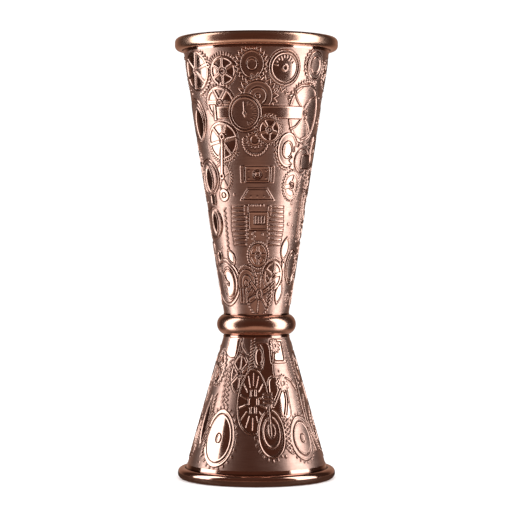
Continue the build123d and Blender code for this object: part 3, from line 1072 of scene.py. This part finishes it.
rimLook = {
    "colour": (0.92, 0.57, 0.41),           # rolled bead
    "bandColour": (0.85, 0.52, 0.40),       # plain bands beside the etched one
    "insideColour": (0.93, 0.64, 0.51),
    "oxide": (0.28, 0.10, 0.06),
    # Colour and share of the painted shade beside the bead and the ring
    "deepOxide": (0.06, 0.02, 0.015),
    "roughness": 0.22,
    "bandRoughness": 0.09,
    "insideRoughness": 0.28,
    "brushing": {"Round": 12.0, "Up": 4200.0},
    "patina": {"Size": 55.0, "Low": 0.45, "High": 0.8},
    "patinaShare": 0.25,
    "streakShare": 0.2,
    "creviceShare": 0.85,
    "patinaRoughness": 0.07,
    "bump": 0.3,
    "bumpHeight": 0.00002,
}
footLook = {
    **rimLook,
    "colour": (0.85, 0.52, 0.40),
    "roughness": 0.11,
}
ringLook = {
    **rimLook,
    "colour": (0.84, 0.51, 0.38),
    "roughness": 0.18,
    "brushing": {"Round": 420.0, "Up": 90.0},
    "bump": 0.35,
}
brazeLook = {                               # nothing on the disc is rolled or inside
    **rimLook,
    "bandColour": (0.72, 0.68, 0.58),
    "oxide": (0.3, 0.26, 0.2),
    "bandRoughness": 0.35,
    "brushing": {"Round": 60.0, "Up": 60.0},
}

etched = etchedCopper(etchedLook)
rimCopper = brightCopper("rim_copper", rimLook)
footCopper = brightCopper("foot_copper", footLook)
ringCopper = brightCopper("ring_copper", ringLook)
brazeSilver = brightCopper("braze_silver", brazeLook)
for piece in upperSkin + lowerSkin:
    piece.data.materials.append(etched)
upperBody.data.materials.append(rimCopper)
lowerBody.data.materials.append(footCopper)
ring.data.materials.append(ringCopper)
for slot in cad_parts["base_braze"].material_slots:
    slot.material = brazeSilver

for piece in upperSkin + [upperBody]:
    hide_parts("upper_cup")
for piece in lowerSkin + [lowerBody]:
    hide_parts("lower_cup")
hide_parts("waist_ring")
for piece in upperSkin + lowerSkin + [upperBody, lowerBody, ring]:
    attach(piece, "root")
print("materials given")

studio = {
    "floorSize": 6.0,
    "floorColour": (0.95, 0.945, 0.94),
    "speckColour": (0.8, 0.79, 0.78),
    "speckShare": 0.04,
    "floorRoughness": 0.8,
    "openWhite": 1.15,                # the sky that the floor and the camera see
    "footSeen": (0.034, 0.075),       # reflections find a painted shadow on the floor up to the first distance
    # colour of that painted shadow at the object's foot
    "footDark": (0.07, 0.045, 0.035),
    "floorGlow": (0.42, 0.29, 0.235),
    "floorSeen": (0.20, 0.44),        # reflections lose the floor between these distances
    "asideSeen": (0.04, 0.11),
    "softboxes": ((-86.5, 0.26), (77.5, 0.30)),      # degrees from the front, width
    "softboxHigh": 1.20,
    "softboxAway": 0.45,
    "softboxRise": 0.09,
    "softboxAim": 0.065,
    "softboxPower": 11.2,             # watts per metre of width
    "softboxColour": (0.95, 1.0, 1.05),
    "frontDark": (0.070, 0.031, 0.021),              # what reflections find in the sky, by direction
    "frontLow": (0.74, 0.58, 0.50),
    "frontHigh": (0.075, 0.045, 0.036),
    "beside": (0.035, 0.018, 0.013),
    "behind": (0.35, 0.22, 0.165),
    "lowBetween": (-0.30, -0.75),     # the front changes while a direction's upward part crosses these
    "highBetween": (0.45, 0.85),
    "rearBetween": (-0.35, 0.25),     # the same for its backward part
    "farBetween": (0.64, 0.98),
    "deepSky": (1.5, 1.3, 1.2),
    "deepAfter": 2.5,                 # reflections before the deep sky is found
    "deepBetween": (0.3, 0.7),
}


def smoothRange(tree, value, start, stop):
    # 0 below start, 1 above stop, a smooth step between
    return node(tree, "ShaderNodeMapRange", {"Value": value, "From Min": start, "From Max": stop},
                interpolation_type="SMOOTHSTEP").outputs["Result"]


def addFloor():
    half = studio["floorSize"] / 2
    corners = [(-half, -half, 0), (half, -half, 0), (half, half, 0), (-half, half, 0)]
    mesh = bpy.data.meshes.new("floor")
    mesh.from_pydata(corners, [], [(0, 1, 2, 3)])
    floor = bpy.data.objects.new("floor", mesh)
    bpy.context.collection.objects.link(floor)
    floor.visible_shadow = False        # the softboxes reach below the floor's level
    made, tree, surface = newMaterial("pale_floor")
    place = node(tree, "ShaderNodeTexCoord").outputs["Object"]
    speck = node(tree, "ShaderNodeTexNoise", {"Vector": place, "Scale": 40.0, "Detail": 4.0}).outputs["Fac"]
    share = mathNode(tree, "MULTIPLY", speck, studio["speckShare"])
    tree.links.new(blendColour(tree, share, studio["floorColour"], studio["speckColour"]),
                   surface.inputs["Base Color"])
    surface.inputs["Roughness"].default_value = studio["floorRoughness"]
    surface.inputs["Specular IOR Level"].default_value = 0.0
    # Reflections see the floor as a painted glow near the object, with a painted shadow at its foot, fading
    # outwards and to both sides; there it lets them through
    parts = node(tree, "ShaderNodeSeparateXYZ", {"Vector": place})
    reach = node(tree, "ShaderNodeVectorMath", {0: place}, operation="LENGTH").outputs["Value"]
    foot = smoothRange(tree, reach, *studio["footSeen"])
    outwards = smoothRange(tree, reach, *studio["floorSeen"])
    aside = smoothRange(tree, mathNode(tree, "ABSOLUTE", parts.outputs["X"]), *studio["asideSeen"])
    gone = mathNode(tree, "MAXIMUM", outwards, aside)
    glowColour = blendColour(tree, foot, studio["footDark"], studio["floorGlow"])
    glow = node(tree, "ShaderNodeEmission", {"Color": glowColour}).outputs["Emission"]
    clear = node(tree, "ShaderNodeBsdfTransparent").outputs["BSDF"]
    mirrored = node(tree, "ShaderNodeMixShader", {0: gone, 1: glow, 2: clear}).outputs["Shader"]
    glossy = node(tree, "ShaderNodeLightPath").outputs["Is Glossy Ray"]
    mix = node(tree, "ShaderNodeMixShader", {0: glossy, 1: surface.outputs["BSDF"], 2: mirrored})
    tree.links.new(mix.outputs["Shader"], tree.nodes["Material Output"].inputs["Surface"])
    mesh.materials.append(made)


def addLight(name, size, power, place, target):
    # A rectangular light that faces a target and stays upright
    data = bpy.data.lights.new(name, "AREA")
    data.shape = "RECTANGLE"
    data.size, data.size_y = size
    data.energy = power
    data.color = studio["softboxColour"]
    light = bpy.data.objects.new(name, data)
    light.location = place
    away = np.array(place) - np.array(target)
    light.rotation_euler = (np.arccos(away[2] / np.linalg.norm(away)), 0, np.arctan2(away[0], -away[1]))
    light.visible_camera = False
    bpy.context.collection.objects.link(light)


def addSoftboxes():
    # Upright softboxes on a circle round the object, turned to its middle
    away, middle = studio["softboxAway"], (0, 0, studio["softboxAim"])
    for turn, wide in studio["softboxes"]:
        t = np.radians(turn)
        place = (away * np.sin(t), -away * np.cos(t), studio["softboxRise"])
        addLight("softbox", (wide, studio["softboxHigh"]), studio["softboxPower"] * wide, place, middle)


def addWorld():
    # White sky over the floor and behind the object; in reflections dark in front, paler low down and
    # behind
    world = bpy.data.worlds.new("studio")
    world.use_nodes = True
    bpy.context.scene.world = world
    tree = world.node_tree
    direction = node(tree, "ShaderNodeTexCoord").outputs["Generated"]
    parts = node(tree, "ShaderNodeSeparateXYZ", {"Vector": direction})
    up, back = parts.outputs["Z"], parts.outputs["Y"]
    high = smoothRange(tree, up, *studio["highBetween"])
    upward = blendColour(tree, high, studio["frontDark"], studio["frontHigh"])
    front = blendColour(tree, smoothRange(tree, up, *studio["lowBetween"]), upward, studio["frontLow"])
    far = smoothRange(tree, back, *studio["farBetween"])
    rear = blendColour(tree, far, studio["beside"], studio["behind"])
    around = blendColour(tree, smoothRange(tree, back, *studio["rearBetween"]), front, rear)
    # Rays that leave a cup upwards after several reflections find a paler sky, so the insides aren't black
    path = node(tree, "ShaderNodeLightPath")
    deep = mathNode(tree, "GREATER_THAN", path.outputs["Glossy Depth"], studio["deepAfter"])
    upOut = mathNode(tree, "MULTIPLY", deep, smoothRange(tree, up, *studio["deepBetween"]))
    reflected = blendColour(tree, upOut, around, studio["deepSky"])
    plainRay = mathNode(tree, "MAXIMUM", path.outputs["Is Camera Ray"], path.outputs["Is Diffuse Ray"])
    white = [studio["openWhite"]] * 3
    tree.links.new(blendColour(tree, plainRay, reflected, white), tree.nodes["Background"].inputs["Color"])


cameraPlace = {
    "away": 0.555,
    "height": 0.0733,
    "aim": 0.0659,                    # height on the axis that the camera looks at
    "lens": 132.3,
    "sensor": 36.0,
    "shiftX": -0.0028,
    "sees": (0.01, 20.0),             # nearest and farthest distance
}


def addCamera():
    data = bpy.data.cameras.new("camera")
    data.lens, data.sensor_width = cameraPlace["lens"], cameraPlace["sensor"]
    data.shift_x = cameraPlace["shiftX"]
    data.clip_start, data.clip_end = cameraPlace["sees"]
    camera = bpy.data.objects.new("camera", data)
    camera.location = (0, -cameraPlace["away"], cameraPlace["height"])
    drop = cameraPlace["height"] - cameraPlace["aim"]
    camera.rotation_euler = (np.pi / 2 - np.arctan2(drop, cameraPlace["away"]), 0, 0)
    bpy.context.collection.objects.link(camera)
    bpy.context.scene.camera = camera


addFloor()
addWorld()
addSoftboxes()
addCamera()
bpy.context.scene.view_settings.view_transform = "Standard"
print("studio set")
